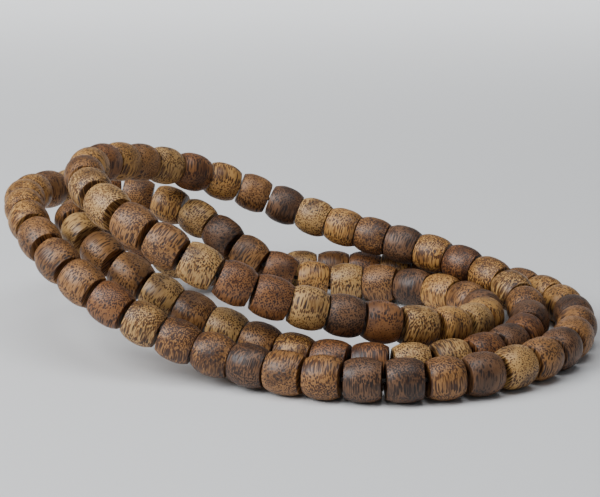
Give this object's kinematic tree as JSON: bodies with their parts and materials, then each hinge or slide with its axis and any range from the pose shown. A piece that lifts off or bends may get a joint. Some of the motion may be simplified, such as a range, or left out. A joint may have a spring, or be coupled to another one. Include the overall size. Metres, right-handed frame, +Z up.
{
  "type": "mala prayer beads",
  "caption": "Long strand of turned wooden barrel beads threaded tight on an elastic cord, lying in open loops, for counting prayers.",
  "frame": {"origin": "under the middle of the strand's box, on the surface that the strand lies on", "axes": "+X along the longer side of the loops, +Y towards the back, +Z up; the raised end is at -X"},
  "size_m": [0.1154, 0.0818, 0.0363],
  "materials": {
    "wood_gold": "satin, golden sapwood",
    "wood_tan": "satin, streaked tan",
    "wood_brown": "satin, mid brown",
    "wood_red": "satin, red-brown",
    "wood_dark": "satin, dark heartwood",
    "elastic_cord": "matt dark elastic cord"
  },
  "bodies": {
    "root": {"cord": "elastic_cord", "cord_knot": "elastic_cord", "beads_028_034": "wood_tan", "beads_035_041": "wood_dark", "beads_051_060": "wood_gold", "beads_067_074": "wood_gold", "beads_082_089": "wood_brown", "beads_090_095": "wood_tan", "beads_096_101": "wood_dark", "beads_103_108": "wood_tan"},
    "bead_001": {"bead_001": "wood_gold"},
    "bead_002": {"bead_002": "wood_gold"},
    "bead_003": {"bead_003": "wood_gold"},
    "bead_004": {"bead_004": "wood_gold"},
    "bead_005": {"bead_005": "wood_brown"},
    "bead_006": {"bead_006": "wood_brown"},
    "bead_007": {"bead_007": "wood_brown"},
    "bead_008": {"bead_008": "wood_red"},
    "bead_009": {"bead_009": "wood_tan"},
    "bead_010": {"bead_010": "wood_brown"},
    "bead_011": {"bead_011": "wood_brown"},
    "bead_012": {"bead_012": "wood_dark"},
    "bead_013": {"bead_013": "wood_brown"},
    "bead_014": {"bead_014": "wood_brown"},
    "bead_015": {"bead_015": "wood_dark"},
    "bead_016": {"bead_016": "wood_dark"},
    "bead_017": {"bead_017": "wood_brown"},
    "bead_018": {"bead_018": "wood_dark"},
    "bead_019": {"bead_019": "wood_tan"},
    "bead_020": {"bead_020": "wood_brown"},
    "bead_021": {"bead_021": "wood_dark"},
    "bead_022": {"bead_022": "wood_brown"},
    "bead_023": {"bead_023": "wood_brown"},
    "bead_024": {"bead_024": "wood_dark"},
    "bead_025": {"bead_025": "wood_gold"},
    "bead_026": {"bead_026": "wood_gold"},
    "bead_027": {"bead_027": "wood_brown"},
    "bead_042": {"bead_042": "wood_brown"},
    "bead_043": {"bead_043": "wood_brown"},
    "bead_044": {"bead_044": "wood_tan"},
    "bead_045": {"bead_045": "wood_brown"},
    "bead_046": {"bead_046": "wood_brown"},
    "bead_047": {"bead_047": "wood_tan"},
    "bead_048": {"bead_048": "wood_brown"},
    "bead_049": {"bead_049": "wood_tan"},
    "bead_050": {"bead_050": "wood_brown"},
    "bead_061": {"bead_061": "wood_tan"},
    "bead_062": {"bead_062": "wood_gold"},
    "bead_063": {"bead_063": "wood_red"},
    "bead_064": {"bead_064": "wood_gold"},
    "bead_065": {"bead_065": "wood_dark"},
    "bead_066": {"bead_066": "wood_brown"},
    "bead_075": {"bead_075": "wood_gold"},
    "bead_076": {"bead_076": "wood_red"},
    "bead_077": {"bead_077": "wood_gold"},
    "bead_078": {"bead_078": "wood_brown"},
    "bead_079": {"bead_079": "wood_tan"},
    "bead_080": {"bead_080": "wood_tan"},
    "bead_081": {"bead_081": "wood_brown"},
    "bead_102": {"bead_102": "wood_dark"}
  },
  "joints": [
    {"name": "bead_001_spin", "type": "hinge", "parent": "root", "child": "bead_001", "pos_m": [-0.05339, 0.01723, 0.02443], "axis": [-0.1711, -0.9803, 0.0991], "continuous": true},
    {"name": "bead_002_spin", "type": "hinge", "parent": "root", "child": "bead_002", "pos_m": [-0.05372, 0.01011, 0.02491], "axis": [0.0784, -0.9964, 0.0334], "continuous": true},
    {"name": "bead_003_spin", "type": "hinge", "parent": "root", "child": "bead_003", "pos_m": [-0.05264, 0.00312, 0.02473], "axis": [0.227, -0.9701, -0.0864], "continuous": true},
    {"name": "bead_004_spin", "type": "hinge", "parent": "root", "child": "bead_004", "pos_m": [-0.05067, -0.00357, 0.02373], "axis": [0.33, -0.9236, -0.1949], "continuous": true},
    {"name": "bead_005_spin", "type": "hinge", "parent": "root", "child": "bead_005", "pos_m": [-0.04776, -0.00982, 0.0219], "axis": [0.4799, -0.8188, -0.3151], "continuous": true},
    {"name": "bead_006_spin", "type": "hinge", "parent": "root", "child": "bead_006", "pos_m": [-0.04378, -0.01517, 0.0193], "axis": [0.626, -0.6659, -0.4059], "continuous": true},
    {"name": "bead_007_spin", "type": "hinge", "parent": "root", "child": "bead_007", "pos_m": [-0.03892, -0.01939, 0.0163], "axis": [0.737, -0.5154, -0.4374], "continuous": true},
    {"name": "bead_008_spin", "type": "hinge", "parent": "root", "child": "bead_008", "pos_m": [-0.03341, -0.0225, 0.0132], "axis": [0.8222, -0.3643, -0.4373], "continuous": true},
    {"name": "bead_009_spin", "type": "hinge", "parent": "root", "child": "bead_009", "pos_m": [-0.02746, -0.02457, 0.01022], "axis": [0.8805, -0.2262, -0.4165], "continuous": true},
    {"name": "bead_010_spin", "type": "hinge", "parent": "root", "child": "bead_010", "pos_m": [-0.02123, -0.02608, 0.00758], "axis": [0.9154, -0.2089, -0.3441], "continuous": true},
    {"name": "bead_011_spin", "type": "hinge", "parent": "root", "child": "bead_011", "pos_m": [-0.01479, -0.02795, 0.00561], "axis": [0.9204, -0.3243, -0.2184], "continuous": true},
    {"name": "bead_012_spin", "type": "hinge", "parent": "root", "child": "bead_012", "pos_m": [-0.00838, -0.03046, 0.00446], "axis": [0.9126, -0.3941, -0.1091], "continuous": true},
    {"name": "bead_013_spin", "type": "hinge", "parent": "root", "child": "bead_013", "pos_m": [-0.00202, -0.0331, 0.00402], "axis": [0.9286, -0.3706, -0.0185], "continuous": true},
    {"name": "bead_014_spin", "type": "hinge", "parent": "root", "child": "bead_014", "pos_m": [0.00454, -0.03533, 0.00395], "axis": [0.9619, -0.2736, 0], "continuous": true},
    {"name": "bead_015_spin", "type": "hinge", "parent": "root", "child": "bead_015", "pos_m": [0.01141, -0.0367, 0.00397], "axis": [0.9933, -0.1154, 0.004], "continuous": true},
    {"name": "bead_016_spin", "type": "hinge", "parent": "root", "child": "bead_016", "pos_m": [0.01845, -0.03689, 0.00397], "axis": [0.9981, 0.0615, -0.0026], "continuous": true},
    {"name": "bead_017_spin", "type": "hinge", "parent": "root", "child": "bead_017", "pos_m": [0.02544, -0.03583, 0.00396], "axis": [0.9714, 0.2373, -0.0014], "continuous": true},
    {"name": "bead_018_spin", "type": "hinge", "parent": "root", "child": "bead_018", "pos_m": [0.03213, -0.0335, 0.00395], "axis": [0.9089, 0.417, 0], "continuous": true},
    {"name": "bead_019_spin", "type": "hinge", "parent": "root", "child": "bead_019", "pos_m": [0.03826, -0.02993, 0.00396], "axis": [0.8115, 0.5844, 0.0003], "continuous": true},
    {"name": "bead_020_spin", "type": "hinge", "parent": "root", "child": "bead_020", "pos_m": [0.04362, -0.02527, 0.00396], "axis": [0.6924, 0.7215, -0.0002], "continuous": true},
    {"name": "bead_021_spin", "type": "hinge", "parent": "root", "child": "bead_021", "pos_m": [0.04804, -0.01971, 0.00395], "axis": [0.5457, 0.838, -0.0001], "continuous": true},
    {"name": "bead_022_spin", "type": "hinge", "parent": "root", "child": "bead_022", "pos_m": [0.05131, -0.01338, 0.00395], "axis": [0.3686, 0.9296, 0], "continuous": true},
    {"name": "bead_023_spin", "type": "hinge", "parent": "root", "child": "bead_023", "pos_m": [0.05326, -0.00652, 0.00395], "axis": [0.1745, 0.9847, 0], "continuous": true},
    {"name": "bead_024_spin", "type": "hinge", "parent": "root", "child": "bead_024", "pos_m": [0.05376, 0.0006, 0.00395], "axis": [-0.034, 0.9994, 0], "continuous": true},
    {"name": "bead_025_spin", "type": "hinge", "parent": "root", "child": "bead_025", "pos_m": [0.05271, 0.00769, 0.00395], "axis": [-0.2575, 0.9663, 0], "continuous": true},
    {"name": "bead_026_spin", "type": "hinge", "parent": "root", "child": "bead_026", "pos_m": [0.05008, 0.01438, 0.00395], "axis": [-0.4686, 0.8834, 0], "continuous": true},
    {"name": "bead_027_spin", "type": "hinge", "parent": "root", "child": "bead_027", "pos_m": [0.04604, 0.02031, 0.00395], "axis": [-0.6515, 0.7587, 0], "continuous": true},
    {"name": "bead_042_spin", "type": "hinge", "parent": "root", "child": "bead_042", "pos_m": [-0.04289, 0.01052, 0.02133], "axis": [-0.2054, -0.949, 0.239], "continuous": true},
    {"name": "bead_043_spin", "type": "hinge", "parent": "root", "child": "bead_043", "pos_m": [-0.04306, 0.00309, 0.02224], "axis": [0.1561, -0.9877, 0.0004], "continuous": true},
    {"name": "bead_044_spin", "type": "hinge", "parent": "root", "child": "bead_044", "pos_m": [-0.04061, -0.00391, 0.02136], "axis": [0.4883, -0.8408, -0.2336], "continuous": true},
    {"name": "bead_045_spin", "type": "hinge", "parent": "root", "child": "bead_045", "pos_m": [-0.03622, -0.00942, 0.01906], "axis": [0.6825, -0.6238, -0.3808], "continuous": true},
    {"name": "bead_046_spin", "type": "hinge", "parent": "root", "child": "bead_046", "pos_m": [-0.03079, -0.01309, 0.01597], "axis": [0.8017, -0.3761, -0.4646], "continuous": true},
    {"name": "bead_047_spin", "type": "hinge", "parent": "root", "child": "bead_047", "pos_m": [-0.02497, -0.0153, 0.01273], "axis": [0.855, -0.2489, -0.4551], "continuous": true},
    {"name": "bead_048_spin", "type": "hinge", "parent": "root", "child": "bead_048", "pos_m": [-0.01902, -0.01702, 0.00981], "axis": [0.882, -0.2525, -0.3978], "continuous": true},
    {"name": "bead_049_spin", "type": "hinge", "parent": "root", "child": "bead_049", "pos_m": [-0.0129, -0.01897, 0.00732], "axis": [0.8937, -0.3108, -0.3236], "continuous": true},
    {"name": "bead_050_spin", "type": "hinge", "parent": "root", "child": "bead_050", "pos_m": [-0.00669, -0.02141, 0.00543], "axis": [0.8926, -0.3921, -0.2226], "continuous": true},
    {"name": "bead_061_spin", "type": "hinge", "parent": "root", "child": "bead_061", "pos_m": [0.0429, 0.00954, 0.00617], "axis": [-0.3922, 0.9055, 0.1622], "continuous": true},
    {"name": "bead_062_spin", "type": "hinge", "parent": "root", "child": "bead_062", "pos_m": [0.03909, 0.01562, 0.00738], "axis": [-0.6433, 0.7473, 0.1666], "continuous": true},
    {"name": "bead_063_spin", "type": "hinge", "parent": "root", "child": "bead_063", "pos_m": [0.03395, 0.02047, 0.00861], "axis": [-0.7852, 0.5942, 0.1742], "continuous": true},
    {"name": "bead_064_spin", "type": "hinge", "parent": "root", "child": "bead_064", "pos_m": [0.02813, 0.02418, 0.00987], "axis": [-0.8689, 0.4589, 0.1854], "continuous": true},
    {"name": "bead_065_spin", "type": "hinge", "parent": "root", "child": "bead_065", "pos_m": [0.02203, 0.02707, 0.01112], "axis": [-0.9074, 0.3805, 0.1784], "continuous": true},
    {"name": "bead_066_spin", "type": "hinge", "parent": "root", "child": "bead_066", "pos_m": [0.0159, 0.02957, 0.0123], "axis": [-0.9149, 0.3651, 0.1719], "continuous": true},
    {"name": "bead_075_spin", "type": "hinge", "parent": "root", "child": "bead_075", "pos_m": [-0.0358, 0.01867, 0.03064], "axis": [-0.4486, -0.8759, 0.1775], "continuous": true},
    {"name": "bead_076_spin", "type": "hinge", "parent": "root", "child": "bead_076", "pos_m": [-0.03856, 0.01232, 0.03171], "axis": [-0.3368, -0.9327, 0.1292], "continuous": true},
    {"name": "bead_077_spin", "type": "hinge", "parent": "root", "child": "bead_077", "pos_m": [-0.04019, 0.00537, 0.03231], "axis": [-0.1209, -0.992, 0.0369], "continuous": true},
    {"name": "bead_078_spin", "type": "hinge", "parent": "root", "child": "bead_078", "pos_m": [-0.04012, -0.00189, 0.03217], "axis": [0.1395, -0.9875, -0.074], "continuous": true},
    {"name": "bead_079_spin", "type": "hinge", "parent": "root", "child": "bead_079", "pos_m": [-0.03817, -0.00888, 0.03123], "axis": [0.3886, -0.9035, -0.1809], "continuous": true},
    {"name": "bead_080_spin", "type": "hinge", "parent": "root", "child": "bead_080", "pos_m": [-0.03438, -0.01488, 0.02947], "axis": [0.6332, -0.7161, -0.2939], "continuous": true},
    {"name": "bead_081_spin", "type": "hinge", "parent": "root", "child": "bead_081", "pos_m": [-0.02921, -0.01933, 0.02698], "axis": [0.7792, -0.4944, -0.3853], "continuous": true},
    {"name": "bead_102_spin", "type": "hinge", "parent": "root", "child": "bead_102", "pos_m": [-0.01566, 0.02868, 0.01252], "axis": [-0.7443, 0.4618, 0.4824], "continuous": true}
  ]
}
